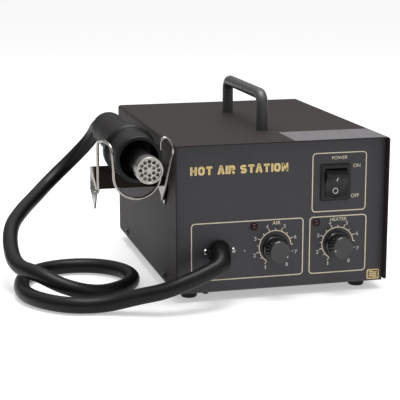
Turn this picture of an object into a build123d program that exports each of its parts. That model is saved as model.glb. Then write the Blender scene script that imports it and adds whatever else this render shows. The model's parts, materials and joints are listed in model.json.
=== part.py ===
"""Hot air rework station: a sheet-steel housing with its pump and electronics, a carry handle, two dials,
a rocker switch, and an air hose that runs to a handpiece lying in a wire holder on the left wall.

Everything is drawn about the middle of the housing, with the bench at z = 0 and the front towards -Y,
and moved by TO_ORIGIN as it is written, so that the part's origin is below the middle of the whole object.
"""

from build123d import *
from math import cos, pi, radians, sin, tan
import os

os.makedirs("parts", exist_ok=True)

TO_ORIGIN = Location((29.4, 18.6, 0))

# Housing
WIDTH = 187.0
DEPTH = 245.0
HEIGHT = 135.0
FOOT_HEIGHT = 8.0
COVER_BOTTOM = 10.0
COVER_SHEET = 1.0
COVER_BEND = 2.5
SIDE = WIDTH / 2
FRONT = -DEPTH / 2
PANEL_Y = FRONT + 7.0
PANEL_SHEET = 1.5
REAR_Y = -FRONT - 1.5
CHASSIS_SHEET = 1.2
INNER_X = SIDE - COVER_SHEET - 0.3
FLOOR_TOP = FOOT_HEIGHT + CHASSIS_SHEET
PANEL_TOP = HEIGHT - COVER_SHEET - 0.3
FLANGE_TOP = 24.0
SIDE_SCREWS = [(-82.0, 15.5), (82.0, 15.5)]
FOOT_PLACES = {
    "front_left": (-76.0, -96.0),
    "front_right": (76.0, -96.0),
    "rear_left": (-76.0, 96.0),
    "rear_right": (76.0, 96.0),
}

# Carry handle and label
HANDLE_X = -1.0
HANDLE_Y = (-60.0, 50.0)
HANDLE_ROD = 10.0
HANDLE_TOP = HEIGHT + 36.0
HANDLE_BEND = 9.0
LABEL_SIZE = (82.5, 45.0, 0.3)
LABEL_X = 49.75

# Front panel: places are (x, z) on the panel's face
SWITCH = (47.3, 97.0)
SWITCH_BEZEL = (26.3, 31.0, 2.2)
SWITCH_BODY = (22.6, 27.2, 20.0)
SWITCH_WELL = (19.9, 24.6, 11.7)
ROCKER_WIDTH = 19.3
ROCKER_TILT = 16.0
ROCKER_PIVOT_Y = PANEL_Y + 3.5
PIN_RADIUS = 1.5
RUNNING = 0.05
AIR_DIAL = (-5.4, 42.6)
HEATER_DIAL = (50.4, 42.6)
AIR_LED = (-24.3, 62.6)
HEATER_LED = (31.0, 62.8)
LED_RADIUS = 2.9
GLAND = (-54.3, 43.0)
GLAND_SCREWS = [(-66.4, 43.0), (-42.2, 43.0)]
RIVET = (-32.5, 42.2)
BUSHING_RADIUS = 3.5
SHAFT_RADIUS = 3.0
KNOB_GAP = 0.7
KNOB_FACE = 14.8
KNOB_CAP = (8.8, 0.8)

# Handpiece: its axis dips towards the nose
HAND_REAR = (-124.0, 13.2, 130.3)
HAND_DIP = 1.9
HANDLE_RADIUS = 15.0
HANDLE_LENGTH = 85.2
FLANGE_RADIUS = 22.0
COWL_BORE = 15.9
COWL_LENGTH = 138.4
TUBE_RADIUS = 9.8
TUBE_BORE = 9.3
RING_RADIUS = 10.8
TUBE_END = 178.2
BOOT_GAP = 0.3
AIR_ROUTE = [(-30, -68, 30), (-30, -92, 30), (-54.3, -92, 43), (-54.3, -109, 43)]

# Holder on the left wall
BRACKET_SHEET = 1.2
PLATE_Y = -62.0
PLATE_Z = (90.0, 110.0)
ARM_LEFT_X = -153.0
WIRE_RADIUS = 1.2
WIRE_Y = -120.0
WIRE_HOLE = (-86.6, 92.6)

# Hose: the elbow turns it from the panel to the left, then it lies in a loop and climbs to the handpiece
HOSE_DIAMETER = 13.5
ELBOW_RADIUS = 8.2
ELBOW_ROUTE = [(-54.3, -109, 43), (-54.3, -125, 43), (-61.71, -137.85, 40.15), (-79, -141, 33.5)]
ELBOW_BENDS = [22.0, 14.0]
HOSE_ROUTE = [
    (-124, 25, 131),
    (-125, 54, 129),
    (-128, 77, 111),
    (-145, 89, 90),
    (-168, 83, 71),
    (-186, 61, 60),
    (-202, 35, 53),
    (-215, 9, 45),
    (-219, -19, 33),
    (-217, -48, 23),
    (-203, -73, 23),
    (-182, -91, 14),
    (-155, -94, 7),
    (-129, -81, 7),
    (-115, -56, 7),
    (-118, -28, 7),
    (-136, -6, 7),
    (-163, 2, 7),
    (-190, -5, 7),
    (-208, -26, 7),
    (-214, -52, 7),
    (-214, -79, 7),
    (-202, -103, 7),
    (-181, -122, 7),
    (-153, -126, 7),
    (-128, -135, 14),
    (-103.7, -145.5, 24),
    (-79, -141, 33.5),
]

# Pump, on a plate that stands on rubber grommets
PUMP_BASE = (-80.0, -16.0, -112.0, 14.0)
PUMP_BASE_Z = (12.0, 14.0)
TRANSPORT_SCREW = (-64.0, -106.0)
GROMMETS = [(-76.0, -84.0), (-20.0, -84.0), (-76.0, 8.0), (-36.0, 8.0)]
ARM_PIVOT = (-52.5, 4.0)
ARM_Z = (22.0, 38.0)

# Rear panel
INLET = (55.0, 38.0)
FUSE = (12.0, 38.0)

PANEL = Plane.XZ.offset(-PANEL_Y)
UPRIGHT = Plane(origin=(0, 0, 0), x_dir=(0, 0, 1), z_dir=(1, 0, 0))
REAR = Plane(origin=(0, REAR_Y, 0), x_dir=(-1, 0, 0), z_dir=(0, 1, 0))
HAND_AXIS = Vector(0, -cos(radians(HAND_DIP)), -sin(radians(HAND_DIP)))
HAND = Plane(origin=HAND_REAR, x_dir=HAND_AXIS, z_dir=(1, 0, 0))


def write(piece, name):
    """Labels a finished piece, moves it to the part's origin and writes it as one node."""
    piece.part.label = name
    export_step(piece.part.moved(TO_ORIGIN), f"parts/{name}.step")


def panel_axis(place):
    """A plane whose x runs straight out of the front panel at a place on it, for turned pieces."""
    return Plane(origin=(place[0], PANEL_Y, place[1]), x_dir=(0, -1, 0), z_dir=(1, 0, 0))


def turned(plane, outline):
    """A turned piece: an outline of (along, radius) points spun about the plane's x axis."""
    with BuildPart() as piece:
        with BuildSketch(plane):
            with BuildLine():
                Polyline(*outline, close=True)
            make_face()
        revolve(axis=Axis(plane.origin, plane.x_dir))
    return piece


def screw(head_radius, head_height, shank_radius, length):
    """A pan-head screw: the head stands on the XY plane, the shank runs down, and the head has a cross."""
    head_edge = 0.4 * head_height
    outline = [
        (-length, 0),
        (-length, shank_radius),
        (0, shank_radius),
        (0, head_radius),
        (head_edge, 0.96 * head_radius),
        (0.85 * head_height, 0.7 * head_radius),
        (head_height, 0.4 * head_radius),
        (head_height, 0),
    ]
    blank = turned(UPRIGHT, outline)
    slot = (1.1 * head_radius, 0.24 * head_radius)
    with BuildPart() as piece:
        add(blank.part)
        with BuildSketch(Plane.XY.offset(head_height)):
            Rectangle(*slot)
            Rectangle(slot[1], slot[0])
        extrude(amount=-0.6 * head_height, mode=Mode.SUBTRACT)
    return piece


def copies(piece, places):
    """The same piece at several places, each copy a solid of its own."""
    with BuildPart() as group:
        with Locations(*places):
            add(piece.part)
    return group


def bent_rod(points, bends, radius):
    """A round rod along straight runs joined by arcs."""
    with BuildPart() as rod:
        with BuildLine() as path:
            FilletPolyline(*points, radius=bends)
        with BuildSketch(Plane(origin=path.line @ 0, z_dir=path.line % 0)):
            Circle(radius)
        sweep(transition=Transition.ROUND)
    return rod


def slab(x, y, z):
    """A box between two corners, given as (low, high) pairs."""
    with Locations(((x[0] + x[1]) / 2, (y[0] + y[1]) / 2, (z[0] + z[1]) / 2)):
        Box(x[1] - x[0], y[1] - y[0], z[1] - z[0])


# Housing


def top_cover():
    """The sheet-steel cover: top and both walls in one bent piece."""
    with BuildPart() as cover:
        with BuildSketch(Plane.XZ.offset(FRONT)):
            with Locations((0, COVER_BOTTOM)):
                Rectangle(WIDTH, HEIGHT - COVER_BOTTOM, align=(Align.CENTER, Align.MIN))
            fillet(vertices().group_by(Axis.Y)[-1], COVER_BEND)
            with Locations((0, COVER_BOTTOM)):
                Rectangle(
                    WIDTH - 2 * COVER_SHEET,
                    HEIGHT - COVER_BOTTOM - COVER_SHEET,
                    align=(Align.CENTER, Align.MIN),
                    mode=Mode.SUBTRACT,
                )
        extrude(amount=DEPTH)
        wall_ends = cover.edges().filter_by(Axis.X).group_by(Axis.Z)[0]
        fillet(wall_ends, 3.0)
        with BuildSketch(Plane.YZ.offset(-SIDE)):
            with Locations(*SIDE_SCREWS):
                Circle(2.1)
        extrude(amount=WIDTH, mode=Mode.SUBTRACT)
        with BuildSketch(Plane.YZ.offset(-SIDE)):
            with Locations(*holder_screw_places()):
                Circle(1.7)
        extrude(amount=COVER_SHEET, mode=Mode.SUBTRACT)
        with BuildSketch(Plane.XY.offset(HEIGHT)):
            with Locations(*[(HANDLE_X, y) for y in HANDLE_Y]):
                Circle(2.6)
        extrude(amount=-COVER_SHEET, mode=Mode.SUBTRACT)
    return cover


def chassis():
    """Floor, side flanges and rear panel in one bent piece, with the rear panel's openings."""
    flange_front = PANEL_Y + 2.0
    with BuildPart() as tray:
        slab((-INNER_X, INNER_X), (PANEL_Y, REAR_Y), (FOOT_HEIGHT, FLOOR_TOP))
        for side in (-1, 1):
            flange = sorted((side * INNER_X, side * (INNER_X - CHASSIS_SHEET)))
            slab(flange, (flange_front, REAR_Y), (FOOT_HEIGHT, FLANGE_TOP))
        slab((-INNER_X, INNER_X), (REAR_Y - CHASSIS_SHEET, REAR_Y), (FOOT_HEIGHT, PANEL_TOP))
        with BuildSketch(Plane.YZ.offset(-INNER_X)):
            with Locations(*SIDE_SCREWS):
                Circle(2.0)
        extrude(amount=2 * INNER_X, mode=Mode.SUBTRACT)
        with BuildSketch(Plane.XY.offset(FOOT_HEIGHT)):
            with Locations(*FOOT_PLACES.values(), TRANSPORT_SCREW):
                Circle(2.1)
            with Locations((30, 30)):
                with GridLocations(7, 34, 12, 2):
                    SlotOverall(26, 3, rotation=90)
        extrude(amount=CHASSIS_SHEET, mode=Mode.SUBTRACT)
        with BuildSketch(REAR):
            with Locations((-INLET[0], INLET[1])):
                Rectangle(27.4, 19.9)
                with GridLocations(40, 0, 2, 1):
                    Circle(1.7)
            with Locations((-FUSE[0], FUSE[1])):
                Circle(6.1)
            for z in (74, 100):
                with Locations((0, z)):
                    with GridLocations(7, 0, 22, 1):
                        SlotOverall(20, 3, rotation=90)
        extrude(amount=-CHASSIS_SHEET, mode=Mode.SUBTRACT)
    return tray


def front_fascia():
    """The printed front panel, set back in the cover, with a lip along its top and bottom."""
    lip = (PANEL_Y + PANEL_SHEET, PANEL_Y + 11.0)
    with BuildPart() as fascia:
        with BuildSketch(PANEL):
            with Locations((0, FLOOR_TOP)):
                Rectangle(2 * INNER_X, PANEL_TOP - FLOOR_TOP, align=(Align.CENTER, Align.MIN))
            with Locations(SWITCH):
                Rectangle(SWITCH_BODY[0] + 0.2, SWITCH_BODY[1] + 0.2, mode=Mode.SUBTRACT)
            with Locations(AIR_DIAL, HEATER_DIAL):
                Circle(BUSHING_RADIUS + 0.1, mode=Mode.SUBTRACT)
            with Locations(AIR_LED, HEATER_LED):
                Circle(LED_RADIUS + 0.1, mode=Mode.SUBTRACT)
            with Locations(GLAND):
                Circle(ELBOW_RADIUS + 0.2, mode=Mode.SUBTRACT)
            with Locations(*GLAND_SCREWS):
                Circle(1.6, mode=Mode.SUBTRACT)
            with Locations(RIVET):
                Circle(0.65, mode=Mode.SUBTRACT)
        extrude(amount=-PANEL_SHEET)
        slab((-91, 91), lip, (PANEL_TOP - PANEL_SHEET, PANEL_TOP))
        slab((-90, 90), lip, (FLOOR_TOP, FLOOR_TOP + PANEL_SHEET))
        with BuildSketch(Plane.XY.offset(FLOOR_TOP)):
            with Locations(TRANSPORT_SCREW):
                Circle(4.5)
        extrude(amount=PANEL_SHEET, mode=Mode.SUBTRACT)
    return fascia


def foot(place):
    """A tapered rubber foot with a pocket for its screw's head."""
    up = Plane(origin=(*place, 0), x_dir=(0, 0, 1), z_dir=(1, 0, 0))
    outline = [
        (0, 3.8),
        (0, 6.1),
        (0.6, 6.7),
        (FOOT_HEIGHT - 1.0, 8.0),
        (FOOT_HEIGHT, 8.0),
        (FOOT_HEIGHT, 1.9),
        (4.0, 1.9),
        (4.0, 3.8),
    ]
    return turned(up, outline)


def foot_screws():
    """The four screws that hold the feet, heads down in their pockets."""
    down = [Plane(origin=(*place, 4.0), z_dir=(0, 0, -1)) for place in FOOT_PLACES.values()]
    return copies(screw(3.4, 2.2, 1.8, 7.5), down)


def cover_screws():
    """Two screws on each wall, through the cover into the chassis flanges."""
    places = [
        Plane(origin=(side * SIDE, *place), z_dir=(side, 0, 0))
        for side in (-1, 1)
        for place in SIDE_SCREWS
    ]
    return copies(screw(4.0, 2.0, 1.9, 6.0), places)


def carry_handle():
    """The carry handle: a bow of round rod with a threaded hole up each leg."""
    rise = HANDLE_TOP - HANDLE_ROD / 2
    front, back = HANDLE_Y
    corners = [
        (HANDLE_X, front, HEIGHT),
        (HANDLE_X, front, rise),
        (HANDLE_X, back, rise),
        (HANDLE_X, back, HEIGHT),
    ]
    rod = bent_rod(corners, [HANDLE_BEND, HANDLE_BEND], HANDLE_ROD / 2)
    with BuildPart() as bow:
        add(rod.part)
        with BuildSketch(Plane.XY.offset(HEIGHT)):
            with Locations((HANDLE_X, front), (HANDLE_X, back)):
                Circle(2.1)
        extrude(amount=13.0, mode=Mode.SUBTRACT)
    return bow


def handle_screws():
    """The two screws that hold the handle from inside the cover."""
    under = HEIGHT - COVER_SHEET
    places = [Plane(origin=(HANDLE_X, y, under), z_dir=(0, 0, -1)) for y in HANDLE_Y]
    return copies(screw(4.0, 2.4, 2.0, 12.0), places)


def top_label():
    """The blank label stuck on the cover's front right corner."""
    width, depth, thick = LABEL_SIZE
    with BuildPart() as label:
        slab(
            (LABEL_X - width / 2, LABEL_X + width / 2),
            (FRONT, FRONT + depth),
            (HEIGHT, HEIGHT + thick),
        )
    return label


# Power switch


def switch_body():
    """The switch: a bezel on the panel, a body behind it, the rocker's well and the holes for its pins."""
    wide, high, bezel = SWITCH_BEZEL
    with BuildPart() as body:
        with BuildSketch(PANEL):
            with Locations(SWITCH):
                RectangleRounded(wide, high, 1.2)
        extrude(amount=bezel)
        chamfer(body.faces().sort_by(Axis.Y)[0].edges(), 0.7)
        with BuildSketch(PANEL):
            with Locations(SWITCH):
                Rectangle(SWITCH_BODY[0], SWITCH_BODY[1])
        extrude(amount=-SWITCH_BODY[2])
        with BuildSketch(PANEL.offset(bezel)):
            with Locations(SWITCH):
                Rectangle(SWITCH_WELL[0], SWITCH_WELL[1])
                with Locations((0, -SWITCH_WELL[1] / 2)):
                    Rectangle(4.0, 1.4)
        extrude(amount=-1.2, mode=Mode.SUBTRACT)
        with BuildSketch(PANEL.offset(bezel)):
            with Locations(SWITCH):
                Rectangle(SWITCH_WELL[0], SWITCH_WELL[1])
        extrude(amount=-SWITCH_WELL[2], mode=Mode.SUBTRACT)
        with BuildSketch(Plane.YZ.offset(SWITCH[0])):
            with Locations((ROCKER_PIVOT_Y, SWITCH[1])):
                Circle(PIN_RADIUS + RUNNING)
        extrude(amount=10.9, both=True, mode=Mode.SUBTRACT)
    return body


def rocker():
    """The rocker at OFF: its top ridge stands out, its bottom lies flush, and it turns on two side pins."""
    side = [
        (-9.6, 9.7),
        (-2.0, 11.9),
        (1.0, 12.0),
        (3.0, 9.0),
        (3.0, -9.0),
        (1.0, -12.0),
        (-2.0, -11.9),
        (-9.6, -9.7),
    ]
    with BuildPart() as paddle:
        with BuildSketch(Plane.YZ.offset(SWITCH[0])):
            with Locations(Location((ROCKER_PIVOT_Y, SWITCH[1], 0), (0, 0, ROCKER_TILT))):
                with BuildSketch(mode=Mode.PRIVATE) as neutral:
                    with BuildLine():
                        Polyline(*side)
                        ThreePointArc(side[-1], (-6.6, 0), side[0])
                    make_face()
                add(neutral.sketch)
        extrude(amount=ROCKER_WIDTH / 2, both=True)
        ridges = paddle.edges().filter_by(Axis.X).sort_by(Axis.Y)[:1]
        fillet(ridges, 0.8)
        with BuildSketch(Plane.YZ.offset(SWITCH[0])):
            with Locations((ROCKER_PIVOT_Y, SWITCH[1])):
                Circle(PIN_RADIUS)
        extrude(amount=10.75, both=True)
    return paddle


# Dials and lamps


def lamps():
    """The two domed lamps behind the panel, with their noses through it."""
    with BuildPart() as pair:
        with BuildSketch(PANEL.offset(-7.0)):
            with Locations(AIR_LED, HEATER_LED):
                Circle(LED_RADIUS)
        extrude(amount=9.4)
        fillet(pair.edges().group_by(Axis.Y)[0], 2.6)
        with BuildSketch(PANEL.offset(-PANEL_SHEET)):
            with Locations(AIR_LED, HEATER_LED):
                Circle(LED_RADIUS + 0.9)
        extrude(amount=-5.5)
    return pair


def lamp_bezels():
    """The two rings around the lamps' noses."""
    with BuildPart() as rings:
        with BuildSketch(PANEL):
            with Locations(AIR_LED, HEATER_LED):
                Circle(LED_RADIUS + 0.7)
                Circle(LED_RADIUS + 0.1, mode=Mode.SUBTRACT)
        extrude(amount=0.9)
        fillet(rings.edges().group_by(Axis.Y)[0], 0.25)
    return rings


def pot_body(place):
    """A dial's control: a can behind the panel, a bushing through it and a bore for the shaft."""
    outline = [
        (-11.5, 0),
        (-11.5, 8.5),
        (-PANEL_SHEET, 8.5),
        (-PANEL_SHEET, BUSHING_RADIUS),
        (4.5, BUSHING_RADIUS),
        (4.5, SHAFT_RADIUS + RUNNING),
        (-9.0, SHAFT_RADIUS + RUNNING),
        (-9.0, 0),
    ]
    blank = turned(panel_axis(place), outline)
    with BuildPart() as can:
        add(blank.part)
        with BuildSketch(PANEL.offset(-5.0)):
            with Locations((place[0], place[1] - 10.5)):
                with GridLocations(5, 0, 3, 1):
                    Rectangle(2.0, 7.0)
        extrude(amount=-1.6)
    return can


def pot_shaft(place):
    """A dial's shaft, with a flat along its outer half for the knob."""
    outline = [(-8.8, 0), (-8.8, SHAFT_RADIUS), (13.0, SHAFT_RADIUS), (13.0, 0)]
    blank = turned(panel_axis(place), outline)
    with BuildPart() as shaft:
        add(blank.part)
        with BuildSketch(PANEL.offset(5.2)):
            with Locations((place[0], place[1] + 3.5)):
                Rectangle(8.0, 4.0)
        extrude(amount=9.0, mode=Mode.SUBTRACT)
    return shaft


def pot_nuts():
    """The two hexagon nuts that clamp the dials' controls to the panel."""
    with BuildPart() as nuts:
        with BuildSketch(PANEL):
            with Locations(AIR_DIAL, HEATER_DIAL):
                RegularPolygon(6.3, 6)
                Circle(BUSHING_RADIUS + RUNNING, mode=Mode.SUBTRACT)
        extrude(amount=2.2)
    return nuts


def knob(place):
    """A fluted knob with a flange, hollow over the nut, with a blind bore for the shaft."""
    outline = [
        (KNOB_GAP, 7.6),
        (KNOB_GAP, 11.0),
        (1.2, 11.3),
        (2.5, 11.3),
        (3.2, 10.8),
        (3.8, 9.9),
        (KNOB_FACE - 0.6, 9.4),
        (KNOB_FACE, 8.9),
        (KNOB_FACE, 0),
        (13.2, 0),
        (13.2, SHAFT_RADIUS + RUNNING),
        (5.0, SHAFT_RADIUS + RUNNING),
        (5.0, 7.6),
    ]
    blank = turned(panel_axis(place), outline)
    with BuildPart() as body:
        add(blank.part)
        with BuildSketch(PANEL.offset(3.9)):
            with Locations(place):
                with PolarLocations(10.2, 20):
                    Circle(1.0)
        extrude(amount=KNOB_FACE, mode=Mode.SUBTRACT)
    return body


def knob_cap(place):
    """The flat grey disc on a knob's face."""
    radius, thick = KNOB_CAP
    with BuildPart() as cap:
        with BuildSketch(PANEL.offset(KNOB_FACE)):
            with Locations(place):
                Circle(radius)
        extrude(amount=thick)
        chamfer(cap.faces().sort_by(Axis.Y)[0].edges(), 0.3)
    return cap


# Hose gland


def gland_plate():
    """The plate behind the panel that clamps the elbow, drilled for its two screws."""
    with BuildPart() as plate:
        with BuildSketch(PANEL.offset(-PANEL_SHEET)):
            with Locations(GLAND):
                SlotOverall(36, 20)
                Circle(ELBOW_RADIUS + 0.2, mode=Mode.SUBTRACT)
            with Locations(*GLAND_SCREWS):
                Circle(1.5, mode=Mode.SUBTRACT)
        extrude(amount=-3.0)
    return plate


def gland_screws():
    """The two bright screws beside the hose."""
    places = [Plane(origin=(x, PANEL_Y, z), z_dir=(0, -1, 0)) for x, z in GLAND_SCREWS]
    return copies(screw(2.6, 1.7, 1.4, 8.0), places)


def panel_rivet():
    """The small bright pin beside the gland."""
    outline = [(-2.5, 0), (-2.5, 0.6), (0, 0.6), (0, 0.9), (0.4, 0.7), (0.6, 0.3), (0.6, 0)]
    return turned(panel_axis(RIVET), outline)


def hose_elbow():
    """The moulded rubber elbow that turns the hose from the panel to the left."""
    return bent_rod(ELBOW_ROUTE, ELBOW_BENDS, ELBOW_RADIUS)


def hose():
    """The free hose, from the elbow's mouth along the bench in a loop and up to the handpiece's boot."""
    bends = hose_bends()
    tube = bent_rod(HOSE_ROUTE, bends, HOSE_DIAMETER / 2)
    with BuildLine() as path:
        FilletPolyline(*HOSE_ROUTE, radius=bends)
    length = sum(edge.length for edge in path.line.edges())
    section = pi * HOSE_DIAMETER**2 / 4
    print("hose bend radii", [round(bend) for bend in bends])
    print("hose length", round(length), "volume over section", round(tube.part.volume / section))
    return tube


def hose_bends():
    """Each corner's radius: 0.45 of its shorter run over the tangent of half its turn."""
    runs = [Vector(*b) - Vector(*a) for a, b in zip(HOSE_ROUTE, HOSE_ROUTE[1:])]
    bends = []
    for before, after in zip(runs, runs[1:]):
        half_turn = radians(before.get_angle(after) / 2)
        bends.append(0.45 * min(before.length, after.length) / tan(half_turn))
    return bends


# Handpiece


def handpiece_handle():
    """The round grip: a tube closed at the rear, where the hose boot comes through."""
    outline = [
        (0.0, 11.1),
        (0.0, 13.2),
        (0.6, 14.4),
        (1.8, HANDLE_RADIUS),
        (HANDLE_LENGTH, HANDLE_RADIUS),
        (HANDLE_LENGTH, 13.0),
        (2.5, 13.0),
        (2.5, 11.1),
    ]
    return turned(HAND, outline)


def handpiece_cowl():
    """The heat shield: a flared collar with ridges, then an open cowl with a groove behind its lip."""
    outline = [
        (HANDLE_LENGTH, 10.0),
        (HANDLE_LENGTH, HANDLE_RADIUS),
        (88.2, 15.8),
        (93.2, FLANGE_RADIUS - 0.6),
        (94.2, FLANGE_RADIUS),
        (101.6, FLANGE_RADIUS),
        (102.4, FLANGE_RADIUS - 0.8),
        (103.0, 20.6),
        (104.2, 20.6),
        (104.8, 19.8),
        (106.0, 19.8),
        (106.6, 19.1),
        (128.4, 17.9),
        (129.2, 16.9),
        (135.4, 16.9),
        (136.0, 19.0),
        (136.4, 19.2),
        (138.0, 19.2),
        (COWL_LENGTH, 18.9),
        (COWL_LENGTH, COWL_BORE + 0.3),
        (138.1, COWL_BORE),
        (109.2, COWL_BORE),
        (107.2, 10.0),
    ]
    return turned(HAND, outline)


def heater_tube():
    """The steel heater tube with a collar and a rolled rim at its mouth."""
    outline = [
        (79.2, TUBE_BORE),
        (79.2, TUBE_RADIUS),
        (TUBE_END - 10.9, TUBE_RADIUS),
        (TUBE_END - 10.5, RING_RADIUS),
        (TUBE_END - 3.1, RING_RADIUS),
        (TUBE_END - 2.9, RING_RADIUS - 0.5),
        (TUBE_END - 2.5, RING_RADIUS - 0.5),
        (TUBE_END - 2.3, RING_RADIUS),
        (TUBE_END - 0.3, RING_RADIUS),
        (TUBE_END, RING_RADIUS - 0.3),
        (TUBE_END, TUBE_BORE + 0.2),
        (TUBE_END - 0.2, TUBE_BORE),
    ]
    return turned(HAND, outline)


def tube_baffle():
    """The perforated disc in the tube's mouth: two rings of holes round a plain hub."""
    mouth = Plane(origin=HAND.origin + HAND_AXIS * (TUBE_END - 2.4), z_dir=HAND_AXIS)
    with BuildPart() as disc:
        with BuildSketch(mouth):
            Circle(TUBE_BORE - 0.05)
            with PolarLocations(7.2, 12):
                Circle(1.55, mode=Mode.SUBTRACT)
            with PolarLocations(3.75, 6):
                Circle(1.45, mode=Mode.SUBTRACT)
        extrude(amount=1.4)
    return disc


def heater_core():
    """The ceramic heater former inside the tube, with its air channels."""
    start = Plane(origin=HAND.origin + HAND_AXIS * 111.2, z_dir=HAND_AXIS)
    with BuildPart() as core:
        with BuildSketch(start):
            Circle(TUBE_BORE - 0.5)
            with PolarLocations(5.8, 8):
                Circle(1.6, mode=Mode.SUBTRACT)
            Circle(1.8, mode=Mode.SUBTRACT)
        extrude(amount=62.0)
    return core


def handpiece_boot():
    """The tapered rubber boot at the grip's rear, cut square to the hose."""
    outline = [(-24, 0), (-24, 6.0), (-2, 11.0), (2.6, 11.0), (2.6, 12.8), (5.5, 12.8), (5.5, 0)]
    hose_run = (Vector(*HOSE_ROUTE[1]) - Vector(*HOSE_ROUTE[0])).normalized()
    cut = Plane(origin=Vector(*HOSE_ROUTE[0]) - hose_run * BOOT_GAP, z_dir=hose_run)
    cone = turned(HAND, outline)
    with BuildPart() as boot:
        add(cone.part)
        split(bisect_by=cut, keep=Keep.BOTTOM)
    return boot


# Holder


def holder_screw_places():
    """The bracket's two screws on the wall, as (y, z)."""
    middle = sum(PLATE_Z) / 2
    return [(-52.0, middle), (-38.0, middle)]


def holder_bracket():
    """The bracket: a cross plate with a saddle for the grip, two sloping arms and a flange on the wall."""
    wall = (-SIDE - BRACKET_SHEET, -SIDE)
    left = (ARM_LEFT_X - BRACKET_SHEET / 2, ARM_LEFT_X + BRACKET_SHEET / 2)
    left_arm = [(PLATE_Y, 110), (-87.5, 95.5), (-90, 92), (-80, 77.5), (-78, 77.5), (PLATE_Y, 90)]
    right_arm = [(PLATE_Y, 110), (-95, 97), (-96, 94), (-85.3, 79), (-83.3, 79), (PLATE_Y, 90)]
    grip_z = HAND_REAR[2] + HAND_AXIS.Z * (HAND_REAR[1] - PLATE_Y)
    with BuildPart() as bracket:
        slab((left[0], wall[1]), (PLATE_Y, PLATE_Y + BRACKET_SHEET), PLATE_Z)
        slab((-137, -111), (PLATE_Y, PLATE_Y + BRACKET_SHEET), (PLATE_Z[1], PLATE_Z[1] + 6))
        slab(wall, (PLATE_Y, -30), PLATE_Z)
        for side, arm in ((wall, right_arm), (left, left_arm)):
            with BuildSketch(Plane.YZ.offset(side[0])):
                Polygon(*arm, align=None)
            extrude(amount=BRACKET_SHEET)
        with BuildSketch(Plane.YZ.offset(left[0])):
            with Locations(WIRE_HOLE):
                Circle(WIRE_RADIUS + RUNNING)
        extrude(amount=BRACKET_SHEET, mode=Mode.SUBTRACT)
        with BuildSketch(Plane.XZ.offset(-PLATE_Y)):
            with Locations((HAND_REAR[0], grip_z)):
                Circle(HANDLE_RADIUS + 0.35)
        extrude(amount=-2 * BRACKET_SHEET, mode=Mode.SUBTRACT)
        with BuildSketch(Plane.YZ.offset(wall[0])):
            with Locations(*holder_screw_places()):
                Circle(1.7)
        extrude(amount=BRACKET_SHEET, mode=Mode.SUBTRACT)
    return bracket


def holder_wire():
    """The sprung wire: hooked through the left arm, over an arch, round the cradle and down on the right."""
    left = ARM_LEFT_X + BRACKET_SHEET / 2 + WIRE_RADIUS + RUNNING
    right = -SIDE - BRACKET_SHEET - WIRE_RADIUS - RUNNING
    bottom = 93.0
    cradle = (-144.1, -105.6)
    corners = [
        (left - 3.2, *WIRE_HOLE),
        (left, *WIRE_HOLE),
        (left, WIRE_HOLE[0], 134.8),
        (-149.2, -104, 139.4),
        (-145.2, WIRE_Y, 136.8),
        (cradle[0], WIRE_Y, 118),
        (cradle[0], WIRE_Y, bottom),
        (cradle[1], WIRE_Y, bottom),
        (cradle[1], WIRE_Y, 138),
        (-103.6, WIRE_Y, 143),
        (-98.2, WIRE_Y - 2, 140.2),
        (right, -125.5, 132.5),
        (right, -97.4, 96.5),
        (right, -83.5, 83),
    ]
    bends = [1.5, 6.0, 20.0, 9.0, 30.0, 19.2, 19.2, 2.2, 2.6, 7.0, 7.0, 8.0]
    return bent_rod(corners, bends, WIRE_RADIUS)


def holder_screws():
    """The two screws that hold the bracket on the wall."""
    wall = -SIDE - BRACKET_SHEET
    places = [Plane(origin=(wall, *place), z_dir=(-1, 0, 0)) for place in holder_screw_places()]
    return copies(screw(3.2, 1.8, 1.6, 6.0), places)


# Pump


def pump_base():
    """The plate that carries the pump, with seats for the magnet core and holes for grommets."""
    x_low, x_high, y_low, y_high = PUMP_BASE
    with BuildPart() as base:
        slab((x_low, x_high), (y_low, y_high), PUMP_BASE_Z)
        for y in ((-40, -34), (-6, 0)):
            slab((-76, -58), y, (PUMP_BASE_Z[1], ARM_Z[0]))
        with BuildSketch(Plane.XY.offset(PUMP_BASE_Z[0])):
            with Locations(*GROMMETS):
                Circle(3.0)
            with Locations(TRANSPORT_SCREW):
                Circle(1.9)
        extrude(amount=PUMP_BASE_Z[1] - PUMP_BASE_Z[0], mode=Mode.SUBTRACT)
    return base


def pump_grommets():
    """Four rubber grommets between the pump plate and the floor."""
    up = Plane(origin=(0, 0, FLOOR_TOP), x_dir=UPRIGHT.x_dir, z_dir=UPRIGHT.z_dir)
    gap = PUMP_BASE_Z[0] - FLOOR_TOP
    outline = [
        (0, 1.5),
        (0, 5.0),
        (gap, 5.0),
        (gap, 2.9),
        (gap + 2, 2.9),
        (gap + 2, 4.6),
        (gap + 3.5, 4.0),
        (gap + 3.5, 1.5),
    ]
    return copies(turned(up, outline), GROMMETS)


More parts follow.
